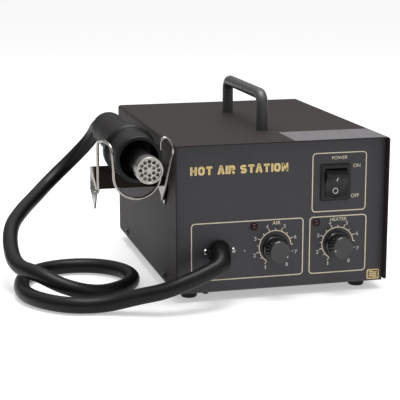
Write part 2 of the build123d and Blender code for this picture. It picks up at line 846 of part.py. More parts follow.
def pump_housing():
    """The pump's two-chamber block with its air spout, and the ears that the arm swings in."""
    with BuildPart() as block:
        slab((-42, -18), (-60, -14), (PUMP_BASE_Z[1], 46))
        fillet(block.edges().filter_by(Axis.Z), 3.0)
        with BuildSketch(Plane.YZ.offset(-42)):
            with Locations((-36, 30)):
                Circle(11.0)
        extrude(amount=8.0, mode=Mode.SUBTRACT)
        with BuildSketch(Plane.XZ.offset(60)):
            with Locations((-30, 30)):
                Circle(3.0)
        extrude(amount=8.0)
        for z in ((ARM_Z[0] - 4, ARM_Z[0] - 0.4), (ARM_Z[1] + 0.4, ARM_Z[1] + 4)):
            slab((-56, -18), (-0.5, 8.5), z)
        slab((-26, -18), (-14.5, 8.5), (PUMP_BASE_Z[1], ARM_Z[1] + 4))
        with BuildSketch(Plane.XY.offset(ARM_Z[0] - 4)):
            with Locations(ARM_PIVOT):
                Circle(PIN_RADIUS + RUNNING)
        extrude(amount=ARM_Z[1] - ARM_Z[0] + 8, mode=Mode.SUBTRACT)
    return block


def pump_diaphragm():
    """The rubber diaphragm in the pump block's mouth, with its hub."""
    face = Plane(origin=(-41.8, -36, 30), x_dir=(-1, 0, 0), z_dir=(0, 1, 0))
    outline = [(-1.5, 0), (-1.5, 10.8), (0.8, 10.8), (0.8, 7.0), (0.0, 6.0), (0.0, 4.5), (5.5, 4.5), (5.5, 0)]
    return turned(face, outline)


def pump_arm():
    """The arm that the coil shakes, with its two pivot pins in one piece."""
    low, high = ARM_Z
    with BuildPart() as arm:
        slab((-54, -51), (-46, 6), ARM_Z)
        with BuildSketch(Plane.XY.offset(low)):
            with Locations(ARM_PIVOT):
                Circle(3.0)
        extrude(amount=high - low)
        with BuildSketch(Plane.XY.offset(low - 3.8)):
            with Locations(ARM_PIVOT):
                Circle(PIN_RADIUS)
        extrude(amount=high - low + 7.6)
    return arm


def pump_magnet():
    """The magnet on the arm, facing the coil's middle pole."""
    with BuildPart() as magnet:
        slab((-55.8, -54), (-27, -13), (24, 36))
    return magnet


def coil_core():
    """The laminated E-shaped core with one pole through the winding."""
    with BuildPart() as core:
        slab((-76, -71), (-40, 0), ARM_Z)
        for y in ((-40, -34), (-25, -15), (-6, 0)):
            slab((-71.5, -58), y, ARM_Z)
    return core


def coil_winding():
    """The copper winding round the core's middle pole."""
    with BuildPart() as winding:
        slab((-70.5, -60), (-31, -9), (ARM_Z[0] - 6, ARM_Z[1] + 6))
        fillet(winding.edges().filter_by(Axis.X), 4.0)
        with BuildSketch(Plane.YZ.offset(-71)):
            with Locations((-20, sum(ARM_Z) / 2)):
                Rectangle(10.4, ARM_Z[1] - ARM_Z[0] + 0.4)
        extrude(amount=12.0, mode=Mode.SUBTRACT)
    return winding


def transport_screw():
    """The screw under the floor that locks the pump for carriage."""
    head = Plane(origin=(*TRANSPORT_SCREW, FOOT_HEIGHT), z_dir=(0, 0, -1))
    return copies(screw(3.3, 4.0, 1.8, 9.0), [head])


def air_tube():
    """The soft tube from the pump's spout to the elbow behind the panel."""
    return bent_rod(AIR_ROUTE, [9.0, 7.0], 4.0)


# Electronics


BOARD = ((6.0, 84.0), (-70.0, 30.0), (22.0, 23.6))
STANDOFFS = [(x, y) for x in (11.0, 79.0) for y in (-65.0, 25.0)]


def circuit_board():
    """The control board, drilled at its corners."""
    with BuildPart() as board:
        slab(*BOARD)
        with BuildSketch(Plane.XY.offset(BOARD[2][0])):
            with Locations(*STANDOFFS):
                Circle(1.7)
        extrude(amount=4.0, mode=Mode.SUBTRACT)
    return board


def board_standoffs():
    """Four posts with a locating pin through the board."""
    up = Plane(origin=(0, 0, FLOOR_TOP), x_dir=UPRIGHT.x_dir, z_dir=UPRIGHT.z_dir)
    rise = BOARD[2][0] - FLOOR_TOP
    outline = [(0, 0), (0, 3.2), (rise, 3.2), (rise, 1.5), (rise + 3.5, 1.5), (rise + 3.5, 0)]
    return copies(turned(up, outline), STANDOFFS)


def heat_sink():
    """The finned aluminium block on the board."""
    with BuildPart() as sink:
        slab((20, 58), (8, 12), (BOARD[2][1], 55))
        for step in range(7):
            fin = 20 + 6 * step
            slab((fin, fin + 2), (12, 24), (BOARD[2][1], 55))
    return sink


def triac():
    """The power device clamped to the heat sink."""
    with BuildPart() as device:
        slab((33, 43), (3.5, 8), (30, 46))
        with BuildSketch(Plane.XY.offset(BOARD[2][1])):
            with Locations((38, 5.5)):
                with GridLocations(2.54, 0, 3, 1):
                    Rectangle(0.9, 0.6)
        extrude(amount=6.4)
    return device


def capacitors():
    """The board's round capacitors."""
    with BuildPart() as cans:
        with BuildSketch(Plane.XY.offset(BOARD[2][1])):
            with Locations((20, -40), (36, -40), (66, -52)):
                Circle(6.0)
        extrude(amount=22.0)
        fillet(cans.edges().group_by(Axis.Z)[-1], 1.0)
    return cans


def transformer_core():
    """The small supply transformer's core on its feet."""
    with BuildPart() as core:
        slab((26, 74), (52, 88), (FLOOR_TOP, 50))
        slab((38, 62), (51, 89), (FLOOR_TOP + 8, 42))
        with BuildSketch(Plane.XZ.offset(-51)):
            with Locations((40, 29.6), (60, 29.6)):
                Rectangle(12, 26)
        extrude(amount=-40, mode=Mode.SUBTRACT)
    return core


def transformer_coil():
    """The transformer's winding round the core's middle leg."""
    with BuildPart() as coil:
        slab((34.3, 65.7), (46, 94), (17, 42.2))
        fillet(coil.edges().filter_by(Axis.Z), 4.0)
        with Locations((50, 70, 29.6)):
            Box(8.4, 38.4, 30, mode=Mode.SUBTRACT)
    return coil


# Rear panel


def mains_inlet():
    """The mains inlet: a flange on the rear panel and a deep socket round its blades."""
    with BuildPart() as inlet:
        with BuildSketch(REAR):
            with Locations((-INLET[0], INLET[1])):
                RectangleRounded(50, 23, 4)
                with GridLocations(40, 0, 2, 1):
                    Circle(1.7, mode=Mode.SUBTRACT)
        extrude(amount=2.5)
        with BuildSketch(REAR):
            with Locations((-INLET[0], INLET[1])):
                Rectangle(27.0, 19.6)
        extrude(amount=-20.0)
        with BuildSketch(REAR.offset(2.5)):
            with Locations((-INLET[0], INLET[1])):
                Rectangle(24.0, 17.0)
        extrude(amount=-18.5, mode=Mode.SUBTRACT)
        with BuildSketch(REAR):
            with Locations(*blade_places()):
                Rectangle(2.2, 4.2)
        extrude(amount=-20.0, mode=Mode.SUBTRACT)
    return inlet


def blade_places():
    """The inlet's three blades, the earth blade a little higher."""
    across, up = -INLET[0], INLET[1]
    return [(across - 7, up - 1.6), (across, up + 2.2), (across + 7, up - 1.6)]


def inlet_pins():
    """The inlet's three blades, out behind as solder tags."""
    with BuildPart() as blades:
        with BuildSketch(REAR.offset(-1.0)):
            with Locations(*blade_places()):
                Rectangle(2.0, 4.0)
        extrude(amount=-24.0)
    return blades


def inlet_screws():
    """The inlet's two screws."""
    places = [
        Plane(origin=(INLET[0] + side * 20, REAR_Y + 2.5, INLET[1]), z_dir=(0, 1, 0))
        for side in (-1, 1)
    ]
    return copies(screw(2.9, 1.7, 1.5, 9.0), places)


def fuse_holder():
    """The fuse holder: a body through the panel and a knurled cap with a slot."""
    axis = Plane(origin=(FUSE[0], REAR_Y, FUSE[1]), x_dir=(0, 1, 0), z_dir=(1, 0, 0))
    outline = [
        (-26, 0),
        (-26, 4.5),
        (-12, 6.0),
        (0, 6.0),
        (0, 8.0),
        (2.0, 8.0),
        (2.6, 6.4),
        (6.6, 6.0),
        (7.0, 5.5),
        (7.0, 0),
    ]
    blank = turned(axis, outline)
    with BuildPart() as holder:
        add(blank.part)
        with BuildSketch(REAR.offset(7.0)):
            with Locations((-FUSE[0], FUSE[1])):
                Rectangle(1.4, 8.0)
        extrude(amount=-1.6, mode=Mode.SUBTRACT)
    return holder


# Every node, in the order of taking the station apart

NODES = {
    "top_cover": top_cover,
    "cover_screws": cover_screws,
    "carry_handle": carry_handle,
    "handle_screws": handle_screws,
    "top_label": top_label,
    "chassis": chassis,
    "front_fascia": front_fascia,
    "foot_screws": foot_screws,
    "switch_body": switch_body,
    "rocker": rocker,
    "lamps": lamps,
    "lamp_bezels": lamp_bezels,
    "pot_nuts": pot_nuts,
    "gland_plate": gland_plate,
    "gland_screws": gland_screws,
    "panel_rivet": panel_rivet,
    "hose_elbow": hose_elbow,
    "hose": hose,
    "handpiece_boot": handpiece_boot,
    "handpiece_handle": handpiece_handle,
    "handpiece_cowl": handpiece_cowl,
    "heater_tube": heater_tube,
    "heater_core": heater_core,
    "tube_baffle": tube_baffle,
    "holder_bracket": holder_bracket,
    "holder_wire": holder_wire,
    "holder_screws": holder_screws,
    "pump_base": pump_base,
    "pump_grommets": pump_grommets,
    "pump_housing": pump_housing,
    "pump_diaphragm": pump_diaphragm,
    "pump_arm": pump_arm,
    "pump_magnet": pump_magnet,
    "coil_core": coil_core,
    "coil_winding": coil_winding,
    "transport_screw": transport_screw,
    "air_tube": air_tube,
    "circuit_board": circuit_board,
    "board_standoffs": board_standoffs,
    "heat_sink": heat_sink,
    "triac": triac,
    "capacitors": capacitors,
    "transformer_core": transformer_core,
    "transformer_coil": transformer_coil,
    "mains_inlet": mains_inlet,
    "inlet_pins": inlet_pins,
    "inlet_screws": inlet_screws,
    "fuse_holder": fuse_holder,
}

for name, build in NODES.items():
    write(build(), name)

for corner, place in FOOT_PLACES.items():
    write(foot(place), f"foot_{corner}")

for name, place in (("air", AIR_DIAL), ("heater", HEATER_DIAL)):
    write(knob(place), f"{name}_knob")
    write(knob_cap(place), f"{name}_knob_cap")
    write(pot_body(place), f"{name}_control")
    write(pot_shaft(place), f"{name}_shaft")
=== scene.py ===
import json
import math

import bmesh
import bpy
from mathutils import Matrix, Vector


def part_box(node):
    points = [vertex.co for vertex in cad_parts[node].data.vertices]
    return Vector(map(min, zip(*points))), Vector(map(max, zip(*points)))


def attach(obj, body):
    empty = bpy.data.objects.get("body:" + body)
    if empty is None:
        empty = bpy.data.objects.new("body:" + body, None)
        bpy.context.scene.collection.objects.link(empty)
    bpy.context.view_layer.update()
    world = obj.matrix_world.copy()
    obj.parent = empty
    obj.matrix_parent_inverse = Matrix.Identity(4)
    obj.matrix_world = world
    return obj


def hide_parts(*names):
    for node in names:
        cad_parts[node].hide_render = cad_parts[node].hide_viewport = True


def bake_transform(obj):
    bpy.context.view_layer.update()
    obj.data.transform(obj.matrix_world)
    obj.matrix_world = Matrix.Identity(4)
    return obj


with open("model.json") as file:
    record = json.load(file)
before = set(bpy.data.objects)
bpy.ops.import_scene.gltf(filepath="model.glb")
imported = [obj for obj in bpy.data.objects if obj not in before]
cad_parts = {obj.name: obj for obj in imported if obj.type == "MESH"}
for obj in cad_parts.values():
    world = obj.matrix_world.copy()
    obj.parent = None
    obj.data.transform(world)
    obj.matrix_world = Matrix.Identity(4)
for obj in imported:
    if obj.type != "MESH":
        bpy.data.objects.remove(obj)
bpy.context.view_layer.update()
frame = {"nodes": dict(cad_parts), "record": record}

MM = 0.001
NODES = frame["nodes"]
COVER_LOW, COVER_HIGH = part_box("top_cover")
HOUSING_X = (COVER_LOW.x + COVER_HIGH.x) / 2
HOUSING_Y = (COVER_LOW.y + COVER_HIGH.y) / 2
PANEL_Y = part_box("front_fascia")[0].y
TUBE_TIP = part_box("heater_tube")[0].y
ARM_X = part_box("holder_bracket")[0].x
WHITE = (1.0, 1.0, 1.0, 1.0)


def at(x, y, z):
    """A point in the row frame, from millimetres off the housing's middle on the bench."""
    return Vector((HOUSING_X + x * MM, HOUSING_Y + y * MM, z * MM))


def map_range(nodes, links, value, start, end, low, high):
    """A node that maps the value from start and end to low and high."""
    node = nodes.new("ShaderNodeMapRange")
    for socket, number in zip(("From Min", "From Max", "To Min", "To Max"), (start, end, low, high)):
        node.inputs[socket].default_value = number
    links.new(value, node.inputs["Value"])
    return node


# ---------------------------------------------------------------- camera, light and floor

CAMERA_AZIMUTH = math.radians(-14.5)
CAMERA_ELEVATION = math.radians(12.4)
CAMERA_DISTANCE = 1.166
CAMERA_LENS = 113.6
CAMERA_TARGET = at(-41.3, 0, 61.7)
# Name, azimuth and elevation in degrees, distance and size in metres, power in watts.
SOFTBOXES = (("key_light", -25, 84, 1.1, 0.7, 15), ("fill_light", 25, 14, 2.0, 1.4, 4))
SOFTBOX_TARGET = at(0, 0, 70)
# Axis, start and end of the change along it, and the glow at each.
WORLD_GLOW = (("Y", -0.7, 0.9, 0.06, 0.14), ("Z", 0.1, 1.0, 0.03, 1.1))
FLOOR_HALF = 6.0
FLOOR_DROP = 0.0002
FLOOR_COLOR = (0.62, 0.62, 0.62, 1)
FLOOR_ROUGHNESS = 0.8
FLOOR_GLOW = 0.42


def direction(azimuth, elevation):
    """A unit vector towards the front at azimuth 0, turning to the right and up."""
    flat = math.cos(elevation)
    return Vector((math.sin(azimuth) * flat, -math.cos(azimuth) * flat, math.sin(elevation)))


def add_camera():
    data = bpy.data.cameras.new("camera")
    data.lens = CAMERA_LENS
    camera = bpy.data.objects.new("camera", data)
    back = direction(CAMERA_AZIMUTH, CAMERA_ELEVATION)
    camera.location = CAMERA_TARGET + back * CAMERA_DISTANCE
    camera.rotation_euler = back.to_track_quat("Z", "Y").to_euler()
    bpy.context.scene.collection.objects.link(camera)
    bpy.context.scene.camera = camera


def add_softbox(name, azimuth, elevation, distance, size, power):
    """A square light panel that faces the housing from that direction."""
    data = bpy.data.lights.new(name, "AREA")
    data.shape = "SQUARE"
    data.size = size
    data.energy = power
    lamp = bpy.data.objects.new(name, data)
    back = direction(math.radians(azimuth), math.radians(elevation))
    lamp.location = SOFTBOX_TARGET + back * distance
    lamp.rotation_euler = back.to_track_quat("Z", "Y").to_euler()
    bpy.context.scene.collection.objects.link(lamp)


def add_world():
    """A studio that is bright overhead and dim around, behind a backdrop that is white to the camera only."""
    world = bpy.data.worlds.new("studio")
    world.use_nodes = True
    nodes, links = world.node_tree.nodes, world.node_tree.links
    heading = nodes.new("ShaderNodeSeparateXYZ")
    links.new(nodes.new("ShaderNodeTexCoord").outputs["Generated"], heading.inputs["Vector"])
    total = nodes.new("ShaderNodeMath")
    for (axis, start, end, dim, bright), socket in zip(WORLD_GLOW, total.inputs):
        glow = map_range(nodes, links, heading.outputs[axis], start, end, dim, bright)
        glow.interpolation_type = "SMOOTHSTEP"
        links.new(glow.outputs["Result"], socket)
    studio = nodes["Background"]
    links.new(total.outputs["Value"], studio.inputs["Color"])
    backdrop = nodes.new("ShaderNodeBackground")
    backdrop.inputs["Color"].default_value = WHITE
    mix = nodes.new("ShaderNodeMixShader")
    links.new(nodes.new("ShaderNodeLightPath").outputs["Is Camera Ray"], mix.inputs["Fac"])
    links.new(studio.outputs["Background"], mix.inputs[1])
    links.new(backdrop.outputs["Background"], mix.inputs[2])
    links.new(mix.outputs["Shader"], nodes["World Output"].inputs["Surface"])
    bpy.context.scene.world = world
    bpy.context.scene.view_settings.view_transform = "Standard"


def add_floor():
    """A pale bench top just under the feet, with a little light of its own."""
    mesh = bpy.data.meshes.new("floor")
    low, high = -FLOOR_HALF, FLOOR_HALF
    corners = [(low, low, 0), (high, low, 0), (high, high, 0), (low, high, 0)]
    mesh.from_pydata(corners, [], [(0, 1, 2, 3)])
    floor = bpy.data.objects.new("floor", mesh)
    floor.location.z = -FLOOR_DROP
    bpy.context.scene.collection.objects.link(floor)
    finish = bpy.data.materials.new("floor")
    finish.use_nodes = True
    shader = finish.node_tree.nodes["Principled BSDF"]
    shader.inputs["Base Color"].default_value = FLOOR_COLOR
    shader.inputs["Roughness"].default_value = FLOOR_ROUGHNESS
    shader.inputs["Emission Color"].default_value = WHITE
    shader.inputs["Emission Strength"].default_value = FLOOR_GLOW
    mesh.materials.append(finish)


# ---------------------------------------------------------------- materials

MATERIALS = {}
COAT_ROUGHNESS = 0.1
PATCH_DETAIL = 3.0
PATCH_START, PATCH_END = 0.35, 0.65
NOISE_START, NOISE_END = 0.3, 0.7


class Finish:
    """A principled material with object coordinates. Sizes and depths are in millimetres."""

    def __init__(self, name, color, roughness, metallic=0.0, specular=0.5, coat=0.0):
        material = bpy.data.materials.new(name)
        material.use_nodes = True
        self.nodes = material.node_tree.nodes
        self.links = material.node_tree.links
        self.shader = self.nodes["Principled BSDF"]
        self.set("Base Color", (*color, 1))
        self.set("Roughness", roughness)
        self.set("Metallic", metallic)
        self.set("Specular IOR Level", specular)
        self.set("Coat Weight", coat)
        self.set("Coat Roughness", COAT_ROUGHNESS)
        self.place = self.nodes.new("ShaderNodeTexCoord").outputs["Object"]
        MATERIALS[name] = material

    def set(self, socket, value):
        self.shader.inputs[socket].default_value = value

    def link(self, output, socket):
        self.links.new(output, self.shader.inputs[socket])

    def stretched(self, scale):
        """The coordinates scaled along X, Y and Z, for brushed or drawn surfaces."""
        mapping = self.nodes.new("ShaderNodeMapping")
        mapping.inputs["Scale"].default_value = scale
        self.links.new(self.place, mapping.inputs["Vector"])
        return mapping.outputs["Vector"]

    def share_along(self, axis, start, end):
        """0 to 1 along a world axis between two places in metres, on nodes at the frame's origin."""
        split = self.nodes.new("ShaderNodeSeparateXYZ")
        self.links.new(self.place, split.inputs["Vector"])
        return self.span(split.outputs[axis], 0.0, 1.0, start, end)

    def noise(self, size, detail, place=None):
        """Noise with features of about that size."""
        node = self.nodes.new("ShaderNodeTexNoise")
        node.inputs["Scale"].default_value = 1 / (size * MM)
        node.inputs["Detail"].default_value = detail
        self.links.new(place or self.place, node.inputs["Vector"])
        return node.outputs["Fac"]

    def ramp(self, factor, stops):
        """Colours by factor: stops is a list of (position, colour)."""
        node = self.nodes.new("ShaderNodeValToRGB")
        elements = node.color_ramp.elements
        while len(elements) < len(stops):
            elements.new(1.0)
        for element, (position, color) in zip(elements, stops):
            element.position = position
            element.color = (*color, 1)
        self.links.new(factor, node.inputs["Fac"])
        return node.outputs["Color"]

    def span(self, factor, low, high, start=NOISE_START, end=NOISE_END):
        """The factor between start and end, mapped to low and high."""
        return map_range(self.nodes, self.links, factor, start, end, low, high).outputs["Result"]

    def mottled(self, size, dark, light):
        """Patches of about that size in two colours."""
        factor = self.noise(size, PATCH_DETAIL)
        self.link(self.ramp(factor, [(PATCH_START, dark), (PATCH_END, light)]), "Base Color")

    def smudged(self, size, low, high):
        """Patches of about that size, from the low roughness to the high one."""
        self.link(self.span(self.noise(size, PATCH_DETAIL), low, high), "Roughness")

    def bump(self, factor, depth):
        """Relief of that depth where the factor is 1."""
        node = self.nodes.new("ShaderNodeBump")
        node.inputs["Distance"].default_value = depth * MM
        node.inputs["Strength"].default_value = 1.0
        self.links.new(factor, node.inputs["Height"])
        self.link(node.outputs["Normal"], "Normal")


def shade(color, share):
    return tuple(c * share for c in color)


def painted_steel(name, dark, light, roughness, specular=0.5):
    finish = Finish(name, light, roughness, specular=specular)
    finish.mottled(3.0, dark, light)
    finish.smudged(90.0, roughness - 0.02, roughness + 0.02)
    finish.bump(finish.noise(0.7, detail=3.0), depth=0.012)


def moulded(name, color, roughness, grain=0.01, size=0.5, coat=0.0, specular=0.5):
    """Plastic with a fine grain of that depth and size."""
    finish = Finish(name, color, roughness, coat=coat, specular=specular)
    finish.mottled(9.0, shade(color, 0.8), color)
    finish.smudged(14.0, roughness - 0.05, roughness + 0.05)
    finish.bump(finish.noise(size, detail=2.0), depth=grain)


def rubber(name, color, roughness):
    finish = Finish(name, color, roughness, specular=0.2)
    finish.mottled(6.0, shade(color, 0.85), color)
    finish.smudged(24.0, roughness - 0.04, roughness + 0.04)
    finish.bump(finish.noise(0.6, detail=3.0), depth=0.008)


def bright_metal(name, color, roughness):
    finish = Finish(name, color, roughness, metallic=1.0)
    finish.mottled(5.0, shade(color, 0.82), color)
    finish.smudged(6.0, max(0.03, roughness - 0.05), roughness + 0.08)
    finish.bump(finish.noise(0.9, detail=3.0), depth=0.003)


def brushed(name, color, roughness, scale):
    """Metal with fine lines along the axis that the scale makes small."""
    finish = Finish(name, color, roughness, metallic=1.0)
    lines = finish.noise(0.4, detail=3.0, place=finish.stretched(scale))
    stops = [(NOISE_START, shade(color, 0.75)), (NOISE_END, color)]
    finish.link(finish.ramp(lines, stops), "Base Color")
    finish.link(finish.span(lines, roughness - 0.06, roughness + 0.1), "Roughness")
    finish.bump(lines, depth=0.004)


def polished(finish, share, stops, grain_size, detail, smooth, rough, depth):
    """Metal that changes colour by the stops along the share, with a fine grain."""
    finish.link(finish.ramp(share, stops), "Base Color")
    fine = finish.noise(grain_size, detail)
    finish.link(finish.span(fine, smooth, rough), "Roughness")
    finish.bump(fine, depth)


def tinted_tube(name):
    """Steel that is bright at the tip and that the heater has darkened behind it."""
    finish = Finish(name, (0.4, 0.39, 0.37), 0.3, metallic=1.0)
    share = finish.share_along("Y", TUBE_TIP + 17 * MM, TUBE_TIP + 2.6 * MM)
    stops = [(0.0, (0.035, 0.034, 0.034)), (0.40, (0.07, 0.066, 0.064)),
             (0.50, (0.26, 0.25, 0.235)), (1.0, (0.34, 0.33, 0.31))]
    polished(finish, share, stops, grain_size=0.15, detail=2.0, smooth=0.22, rough=0.34, depth=0.001)


def holder_sheet(name):
    """Dark polished sheet with painted reflection: the outer arm painted paler, the plate darker."""
    finish = Finish(name, (0.1, 0.085, 0.075), 0.16, metallic=1.0)
    share = finish.share_along("X", ARM_X + 1.0 * MM, ARM_X + 4.0 * MM)
    # Painted reflection: pale on the outer arm, dark on the plate.
    stops = [(0.0, (0.20, 0.187, 0.175)), (1.0, (0.010, 0.0075, 0.0062))]
    polished(finish, share, stops, grain_size=1.6, detail=3.0, smooth=0.12, rough=0.2, depth=0.002)


def lens(name, color):
    finish = Finish(name, color, 0.14, specular=0.4)
    finish.mottled(2.0, shade(color, 0.5), color)


def ink(name, color):
    finish = Finish(name, color, 0.55)
    finish.mottled(1.5, shade(color, 0.88), color)


painted_steel("cover_paint", (0.0195, 0.0150, 0.0150), (0.0235, 0.0182, 0.0182), 0.6, specular=0.14)
painted_steel("chassis_steel", (0.022, 0.022, 0.022), (0.03, 0.03, 0.03), 0.45)
painted_steel("panel_paint", (0.0155, 0.0132, 0.0172), (0.0185, 0.0160, 0.0205), 0.5)
moulded("label_film", (0.108, 0.102, 0.110), 0.55)
painted_steel("handle_paint", (0.038, 0.036, 0.0365), (0.044, 0.041, 0.042), 0.42)
rubber("foot_rubber", (0.02, 0.02, 0.02), 0.7)
bright_metal("black_screw", (0.05, 0.05, 0.05), 0.35)
bright_metal("bright_screw", (0.34, 0.33, 0.32), 0.12)
moulded("switch_black", (0.0055, 0.005, 0.0062), 0.36, specular=0.3)
moulded("knob_black", (0.004, 0.004, 0.0045), 0.18, grain=0.003, coat=0.2)
moulded("knob_grey", (0.030, 0.028, 0.031), 0.5)
lens("lamp_red", (0.030, 0.0015, 0.003))
moulded("lamp_ring", (0.022, 0.009, 0.010), 0.3)
rubber("hose_rubber", (0.0035, 0.0035, 0.0038), 0.4)
moulded("grip_plastic", (0.009, 0.0072, 0.0072), 0.6, grain=0.015, size=0.7, specular=0.2)
moulded("cowl_plastic", (0.003, 0.003, 0.0037), 0.42, grain=0.008, size=0.7, specular=0.22)
tinted_tube("tube_steel")
moulded("ceramic", (0.7, 0.66, 0.6), 0.8)
bright_metal("chrome_wire", (0.33, 0.31, 0.29), 0.06)
holder_sheet("holder_steel")
brushed("zinc_steel", (0.5, 0.5, 0.5), 0.35, (0.1, 1, 1))
brushed("copper", (0.6, 0.25, 0.12), 0.3, (1, 0.1, 1))
moulded("inner_plastic", (0.05, 0.05, 0.05), 0.5)
moulded("board_green", (0.02, 0.14, 0.06), 0.4)
brushed("alloy", (0.7, 0.7, 0.72), 0.35, (1, 0.1, 1))
rubber("air_tube", (0.55, 0.55, 0.52), 0.45)
moulded("inlet_plastic", (0.015, 0.015, 0.015), 0.35)
bright_metal("inlet_blade", (0.75, 0.72, 0.66), 0.2)
ink("gold_ink", (0.66, 0.50, 0.21))
ink("pale_ink", (0.62, 0.55, 0.43))
ink("digit_ink", (0.50, 0.49, 0.47))
ink("white_ink", (0.55, 0.55, 0.54))
ink("grey_ink", (0.065, 0.063, 0.065))


def dress_nodes():
    """Every CAD node gets the material of its slot in the record."""
    for part in frame["record"]["subparts"]:
        for slot in NODES[part["node"]].material_slots:
            slot.material = MATERIALS[part["material_slot"]]


def add_mesh(name, data, material, body):
    """A piece of that mesh. It rides on the body, unless that is None."""
    piece = bpy.data.objects.new(name, data)
    piece.data.materials.append(MATERIALS[material])
    bpy.context.scene.collection.objects.link(piece)
    if body:
        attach(piece, body)
    return piece


# ---------------------------------------------------------------- hose

HOSE_DIAMETER = 0.0135
# From the handpiece down the left side, round one loop on the bench and up to the elbow.
HOSE_ROUTE = [
    at(-124, 25, 131), at(-125, 54, 129), at(-128, 77, 111), at(-145, 89, 90), at(-168, 83, 71),
    at(-186, 61, 60), at(-202, 35, 53), at(-215, 9, 45), at(-219, -19, 33), at(-217, -48, 23),
    at(-203, -73, 23), at(-182, -91, 14), at(-155, -94, 7), at(-129, -81, 7), at(-115, -56, 7),
    at(-118, -28, 7), at(-136, -6, 7), at(-163, 2, 7), at(-190, -5, 7), at(-208, -26, 7),
    at(-214, -52, 7), at(-214, -79, 7), at(-202, -103, 7), at(-181, -122, 7), at(-153, -126, 7),
    at(-128, -136, 15), at(-103.7, -145.5, 21), at(-79, -142, 29.5),
]
ELBOW_ROUTE = [
    at(-54.3, -114.5, 43), at(-56, -122.5, 42.5), at(-58, -136.5, 36.8), at(-70.57, -140.8, 32.4),
    at(-83.2, -142.6, 28.05),
]
ELBOW_RADIUS = 0.0088
# The share of its length over which the elbow narrows to the hose.
ELBOW_TAPER = 0.85
# It also loses this much radius evenly along its length, and is as thin as the hose at this share.
ELBOW_LOSS, ELBOW_LEVEL = 0.0008, 0.95
TUBE_SIDES = 32
SPLINE_ORDER, SPLINE_STEPS = 3, 16


def spline_line(name, route):
    """Points along the smooth curve that has the route's points as control points."""
    data = bpy.data.curves.new(name, "CURVE")
    data.dimensions = "3D"
    data.resolution_u = SPLINE_STEPS
    spline = data.splines.new("NURBS")
    spline.points.add(len(route) - 1)
    for point, place in zip(spline.points, route):
        point.co = (*place, 1)
    spline.order_u = SPLINE_ORDER
    spline.use_endpoint_u = True
    curve = bpy.data.objects.new(name, data)
    bpy.context.scene.collection.objects.link(curve)
    line = bpy.data.meshes.new_from_object(curve)
    places = [vertex.co.copy() for vertex in line.vertices]
    bpy.data.objects.remove(curve)
    bpy.data.meshes.remove(line)
    return places


def tube_mesh(name, line, radii):
    """A smooth tube along the line, with one radius for each of its points and sharp rims."""
    mesh = bmesh.new()
    across = (line[1] - line[0]).cross(Vector((0, 0, 1))).normalized()
    rings = []
    for i, (place, radius) in enumerate(zip(line, radii)):
        ahead = (line[min(i + 1, len(line) - 1)] - line[max(i - 1, 0)]).normalized()
        across = (across - ahead * across.dot(ahead)).normalized()
        upward = ahead.cross(across)
        ring = []
        for side in range(TUBE_SIDES):
            turn = 2 * math.pi * side / TUBE_SIDES
            outward = across * math.cos(turn) + upward * math.sin(turn)
            ring.append(mesh.verts.new(place + outward * radius))
        rings.append(ring)
    for ring, after in zip(rings, rings[1:]):
        for side in range(TUBE_SIDES):
            mesh.faces.new((ring[side], ring[side - 1], after[side - 1], after[side]))
    for face in mesh.faces:
        face.smooth = True
    for rim in (rings[0], rings[-1]):
        for edge in mesh.faces.new(rim).edges:
            edge.smooth = False
    return finished_mesh(name, mesh)


def finished_mesh(name, mesh):
    """Mesh data from a bmesh, which is freed, with its faces turned outwards."""
    bmesh.ops.recalc_face_normals(mesh, faces=mesh.faces)
    data = bpy.data.meshes.new(name)
    mesh.to_mesh(data)
    mesh.free()
    return data


def add_elbow():
    """The moulded elbow, which narrows to the hose."""
    line = spline_line("elbow_line", ELBOW_ROUTE)
    radii = []
    for i in range(len(line)):
        share = i / (len(line) - 1)
        part = min(share / ELBOW_TAPER, 1)
        ease = part * part * (3 - 2 * part)
        narrow = ELBOW_RADIUS + (HOSE_DIAMETER / 2 - ELBOW_RADIUS) * ease
        radii.append(narrow + ELBOW_LOSS * (ELBOW_LEVEL - share))
    data = tube_mesh("hose_bend", line, radii)
    elbow = add_mesh("hose_bend", data, "hose_rubber", "station")
    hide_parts("hose_elbow")


def add_hose():
    """One hose from the handpiece to the elbow, which runs between the two bodies and rides on neither."""
    line = spline_line("hose_line", HOSE_ROUTE)
    data = tube_mesh("air_hose", line, [HOSE_DIAMETER / 2] * len(line))
    hose = add_mesh("air_hose", data, "hose_rubber", None)
    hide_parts("hose")
    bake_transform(hose)


# ---------------------------------------------------------------- letters

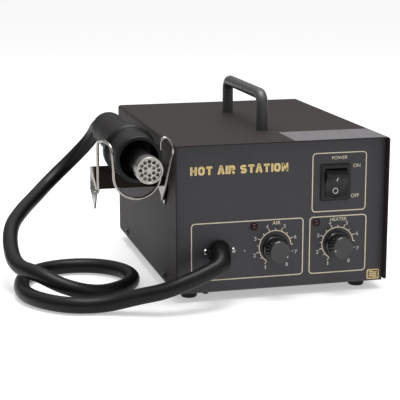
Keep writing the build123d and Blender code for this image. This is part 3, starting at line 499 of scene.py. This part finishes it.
# A letter's strokes run between the middles of its outer bands, which lie at 0 and 1 across and up.
# NEAR_EDGE and FAR_EDGE are its outer edges, half a band further out.
LETTER_WIDTH, LETTER_GAP = 1.0, 0.17
NARROW_WIDTHS = {"I": 0.27, " ": 0.42}
LETTER_BAND = 0.27
NEAR_EDGE, FAR_EDGE = -0.18, 1.18
LEFT_STEM = ((0, NEAR_EDGE), (0, FAR_EDGE))
RIGHT_STEM = ((1, NEAR_EDGE), (1, FAR_EDGE))
CLOSED_LETTERS = "O"
LETTERS = {
    "H": (LEFT_STEM, RIGHT_STEM, ((0.1, 0.5), (0.9, 0.5))),
    "O": (((0.22, 0), (0.78, 0), (1, 0.2), (1, 0.8), (0.78, 1), (0.22, 1), (0, 0.8), (0, 0.2)),),
    "T": (((NEAR_EDGE, 1), (FAR_EDGE, 1)), ((0.5, NEAR_EDGE), (0.5, 0.9))),
    "A": (((-0.08, NEAR_EDGE), (0.43, 1.1), (0.57, 1.1), (1.08, NEAR_EDGE)), ((0.22, 0.24), (0.78, 0.24))),
    "I": (LEFT_STEM,),
    "R": (((0, NEAR_EDGE), (0, 1), (0.78, 1), (1, 0.86), (1, 0.6), (0.78, 0.46), (0.1, 0.46)),
          ((0.6, 0.46), (1.02, NEAR_EDGE))),
    "S": (((0.98, 0.84), (0.8, 1), (0.2, 1), (0, 0.86), (0, 0.66), (0.2, 0.53), (0.8, 0.47), (1, 0.34),
           (1, 0.14), (0.8, 0), (0.2, 0), (0.02, 0.16)),),
    "N": (LEFT_STEM, RIGHT_STEM, ((0.02, 1.0), (0.98, 0.0))),
}


# ---------------------------------------------------------------- printing, in millimetres

INK_DEPTH = 0.06
MITRE_LIMIT = 0.3
CORNER_STEPS, ARC_STEPS, RING_STEPS, DOT_STEPS, WAVE_STEPS = 8, 64, 32, 20, 24


def panel_face(x, z, height):
    """A place on the front panel, raised off it by that height."""
    return Vector((HOUSING_X + x * MM, PANEL_Y - height * MM, z * MM))


def on_circle(x, z, radius, turn):
    return (x + radius * math.cos(turn), z + radius * math.sin(turn))


def circle(x, z, radius, steps):
    return [on_circle(x, z, radius, 2 * math.pi * i / steps) for i in range(steps)]


class Print:
    """Flat shapes that are drawn on X and Z and laid on a face, which is panel_face or one like it."""

    def __init__(self, face=panel_face):
        self.mesh = bmesh.new()
        self.face = face

    def band(self, points, width, closed=False):
        """A line of that width through the points, mitred at its corners."""
        flat = [Vector(p) for p in points]
        count = len(flat)
        sides = []
        for i, point in enumerate(flat):
            ways = []
            if closed or i:
                ways.append((point - flat[i - 1]).normalized())
            if closed or i < count - 1:
                ways.append((flat[(i + 1) % count] - point).normalized())
            normals = [Vector((-way.y, way.x)) for way in ways]
            normal = sum(normals, Vector((0, 0))).normalized()
            reach = width / 2 / max(MITRE_LIMIT, normal.dot(normals[0]))
            sides.append((point + normal * reach, point - normal * reach))
        verts = [[self.mesh.verts.new((*p, 0)) for p in pair] for pair in sides]
        for i in range(count if closed else count - 1):
            a, b = verts[i], verts[(i + 1) % count]
            self.mesh.faces.new((a[0], b[0], b[1], a[1]))

    def frame(self, left, right, low, high, radius, width):
        """A closed line with rounded corners."""
        corners = ((right - radius, high - radius), (left + radius, high - radius),
                   (left + radius, low + radius), (right - radius, low + radius))
        points = []
        for quarter, (x, z) in enumerate(corners):
            for step in range(CORNER_STEPS + 1):
                points.append(on_circle(x, z, radius, (quarter + step / CORNER_STEPS) * math.pi / 2))
        self.band(points, width, closed=True)

    def arc(self, x, z, radius, start, end, width):
        """A line round x and z, from one angle to another in degrees."""
        turns = [math.radians(start + (end - start) * i / ARC_STEPS) for i in range(ARC_STEPS + 1)]
        self.band([on_circle(x, z, radius, turn) for turn in turns], width)

    def ring(self, x, z, radius, width):
        self.band(circle(x, z, radius, RING_STEPS), width, closed=True)

    def dot(self, x, z, radius):
        self.mesh.faces.new([self.mesh.verts.new((*p, 0)) for p in circle(x, z, radius, DOT_STEPS)])

    def wave(self, left, right, z, swing, width):
        """One wave of a line across."""
        shares = [i / WAVE_STEPS for i in range(WAVE_STEPS + 1)]
        self.band([(left + (right - left) * t, z + swing * math.sin(2 * math.pi * t)) for t in shares], width)

    def text(self, words, x, z, height, width):
        """Words centred on x and z, with capitals of that height and the whole of that width."""
        data = bpy.data.curves.new("words", "FONT")
        data.body = words
        curve = bpy.data.objects.new("words", data)
        bpy.context.scene.collection.objects.link(curve)
        flat = bpy.data.meshes.new_from_object(curve)
        xs = [v.co.x for v in flat.vertices]
        ys = [v.co.y for v in flat.vertices]
        middle_x, middle_y = (max(xs) + min(xs)) / 2, (max(ys) + min(ys)) / 2
        grow_x, grow_y = width / (max(xs) - min(xs)), height / (max(ys) - min(ys))
        for v in flat.vertices:
            v.co = (x + (v.co.x - middle_x) * grow_x, z + (v.co.y - middle_y) * grow_y, 0)
        self.mesh.from_mesh(flat)
        bpy.data.objects.remove(curve)
        bpy.data.meshes.remove(flat)

    def heading(self, words, left, low, height, width):
        """Heavy square letters in a row, each stroke a wide band."""
        stroke = LETTER_BAND * height
        shares = [NARROW_WIDTHS.get(letter, LETTER_WIDTH) for letter in words]
        unit = width / (sum(share + LETTER_GAP for share in shares) - LETTER_GAP)
        for letter, share in zip(words, shares):
            inner = (max(share * unit - stroke, 0.0), height - stroke)
            for points in LETTERS.get(letter, ()):
                self.band([(left + stroke / 2 + x * inner[0], low + stroke / 2 + z * inner[1])
                           for x, z in points], stroke, letter in CLOSED_LETTERS)
            left += (share + LETTER_GAP) * unit

    def finish(self, name, material, body, slot):
        """Gives the flat shapes their thickness, lays them on the face and makes them a piece."""
        grown = bmesh.ops.extrude_face_region(self.mesh, geom=list(self.mesh.faces))
        for vert in (g for g in grown["geom"] if isinstance(g, bmesh.types.BMVert)):
            vert.co.z = INK_DEPTH
        for vert in self.mesh.verts:
            vert.co = self.face(*vert.co)
        add_mesh(name, finished_mesh(name, self.mesh), material, body)


# ---------------------------------------------------------------- front panel

# Left, right, low and high of each printed frame.
PANEL_FRAMES = ((27, 75, 72, 122.3), (25.3, 76.2, 18, 67.4), (-78.5, 19.2, 18.2, 67.5))
FRAME_CORNER, FRAME_LINE = 3.0, 0.85
# Words, the x and z of their middle, height and width.
PANEL_WORDS = (
    ("POWER", 51, 118, 2.9, 14), ("ON", 66.5, 110.5, 3.0, 6.3), ("OFF", 65.5, 84.5, 3.0, 7.4),
    ("AIR", -4.5, 64.6, 2.9, 7.2), ("HEATER", 51.0, 64.6, 2.9, 15),
)
# The pictogram in the corner is a frame with three waves.
PICTOGRAM = (78.7, 89.1, 9.9, 17.5)
PICTOGRAM_CORNER, PICTOGRAM_LINE = 1.0, 1.0
WAVE_LEFT, WAVE_RIGHT, WAVE_SWING, WAVE_LINE = 80.3, 87.5, 0.4, 1.1
WAVE_LEVELS = (11.9, 13.7, 15.5)


def print_panel():
    lines = Print()
    for edges in PANEL_FRAMES:
        lines.frame(*edges, FRAME_CORNER, FRAME_LINE)
    for words in PANEL_WORDS:
        lines.text(*words)
    name = Print()
    name.heading("HOT AIR STATION", left=-79.6, low=108.6, height=7.2, width=84.8)
    name.frame(*PICTOGRAM, PICTOGRAM_CORNER, PICTOGRAM_LINE)
    for level in WAVE_LEVELS:
        name.wave(WAVE_LEFT, WAVE_RIGHT, level, WAVE_SWING, WAVE_LINE)
    digits = Print()
    for center in SCALES.values():
        print_scale(center, lines, digits)
    digits.finish("panel_digits", "digit_ink", "station", "panel_paint")
    lines.finish("panel_lines", "pale_ink", "station", "panel_paint")
    name.finish("panel_name", "gold_ink", "station", "panel_paint")


# ---------------------------------------------------------------- dials

SCALES = {"air": (-5.4, 43.9), "heater": (50.6, 43.4)}
DIALS = {"air": (-5.4, 42.6), "heater": (50.4, 42.6)}
# A scale is an arc with a long mark at each step and a short one at each half.
ARC_RADIUS, ARC_WIDTH = 14.1, 0.8
FIRST_MARK, MARK_STEP, ARC_HALVES = 238.0, 42.4, 11
MARK_START, MARK_END, HALF_MARK_END, MARK_WIDTH = 0.2, 3.1, 1.9, 0.7
# One more mark stands alone past the arc's end.
LONE_STEP, LONE_START, LONE_END, LONE_WIDTH = 6, 1.4, 2.6, 0.6
DIGIT_RADIUS, DIGIT_HEIGHT, DIGIT_WIDTH, ONE_WIDTH = 19.3, 3.2, 2.1, 0.9
DIGIT_ANGLES = (244, 200, 156, 112, 65, 23, 343, 303)
# On each cap are a dot by the rim and a faint line to it.
CAP_FACE = 15.6
POINTERS = {"air": -36.0, "heater": 197.0}
DOT_REACH, DOT_RADIUS = 7.4, 0.6
POINTER_REACHES, POINTER_WIDTH = (2.4, 4.4, 6.4), 0.4


def dial_point(center, radius, degrees):
    return on_circle(*center, radius, math.radians(degrees))


def print_scale(center, lines, digits):
    lines.arc(*center, ARC_RADIUS, FIRST_MARK, FIRST_MARK - MARK_STEP * ARC_HALVES / 2, ARC_WIDTH)
    for half in range(ARC_HALVES + 1):
        angle = FIRST_MARK - MARK_STEP * half / 2
        reaches = (MARK_START, HALF_MARK_END if half % 2 else MARK_END)
        lines.band([dial_point(center, ARC_RADIUS + reach, angle) for reach in reaches], MARK_WIDTH)
    angle = FIRST_MARK - MARK_STEP * LONE_STEP
    lone = [dial_point(center, ARC_RADIUS + reach, angle) for reach in (LONE_START, LONE_END)]
    digits.band(lone, LONE_WIDTH)
    for digit, angle in enumerate(DIGIT_ANGLES, 1):
        width = ONE_WIDTH if digit == 1 else DIGIT_WIDTH
        digits.text(str(digit), *dial_point(center, DIGIT_RADIUS, angle), DIGIT_HEIGHT, width)


def cap_face(x, z, height):
    """A place on a dial's cap."""
    return panel_face(x, z, CAP_FACE + height)


def print_dials():
    for name, center in DIALS.items():
        dot = Print(cap_face)
        dot.dot(*dial_point(center, DOT_REACH, POINTERS[name]), DOT_RADIUS)
        dot.finish(name + "_pointer_dot", "white_ink", name + "_dial", "knob_grey")
        line = Print(cap_face)
        line.band([dial_point(center, reach, POINTERS[name]) for reach in POINTER_REACHES], POINTER_WIDTH)
        line.finish(name + "_pointer_line", "grey_ink", name + "_dial", "knob_grey")


# ---------------------------------------------------------------- rocker

# The rocker's face is hollow: part of a cylinder whose axis stands out in front of the pivot.
ROCKER_X, ROCKER_PIVOT_Z, ROCKER_PIVOT_DEPTH = 47.3, 97.0, 3.5
ROCKER_TILT = math.radians(16.0)
HOLLOW_RADIUS, HOLLOW_AXIS = 17.18, 23.78
# The on mark is a bar and the off mark a ring, in places across and up from the pivot.
BAR_X, BAR_LOW, BAR_STEP, BAR_POINTS, BAR_WIDTH = 0.1, 3.6, 0.6, 8, 0.7
RING_X, RING_Z, RING_RADIUS, RING_WIDTH = -0.4, -5.2, 2.15, 0.6


def rocker_face(x, rise, height):
    """A place on the rocker's hollow face."""
    out = HOLLOW_AXIS - math.sqrt(HOLLOW_RADIUS ** 2 - rise ** 2) + height
    forward = out * math.cos(ROCKER_TILT) + rise * math.sin(ROCKER_TILT)
    up = rise * math.cos(ROCKER_TILT) - out * math.sin(ROCKER_TILT)
    return panel_face(ROCKER_X + x, ROCKER_PIVOT_Z + up, forward - ROCKER_PIVOT_DEPTH)


def print_rocker():
    marks = Print(rocker_face)
    marks.band([(BAR_X, BAR_LOW + BAR_STEP * i) for i in range(BAR_POINTS)], BAR_WIDTH)
    marks.ring(RING_X, RING_Z, RING_RADIUS, RING_WIDTH)
    marks.finish("rocker_marks", "white_ink", "power_rocker", "switch_black")


add_camera()
add_world()
add_floor()
for softbox in SOFTBOXES:
    add_softbox(*softbox)
dress_nodes()
add_hose()
add_elbow()
print_panel()
print_dials()
print_rocker()
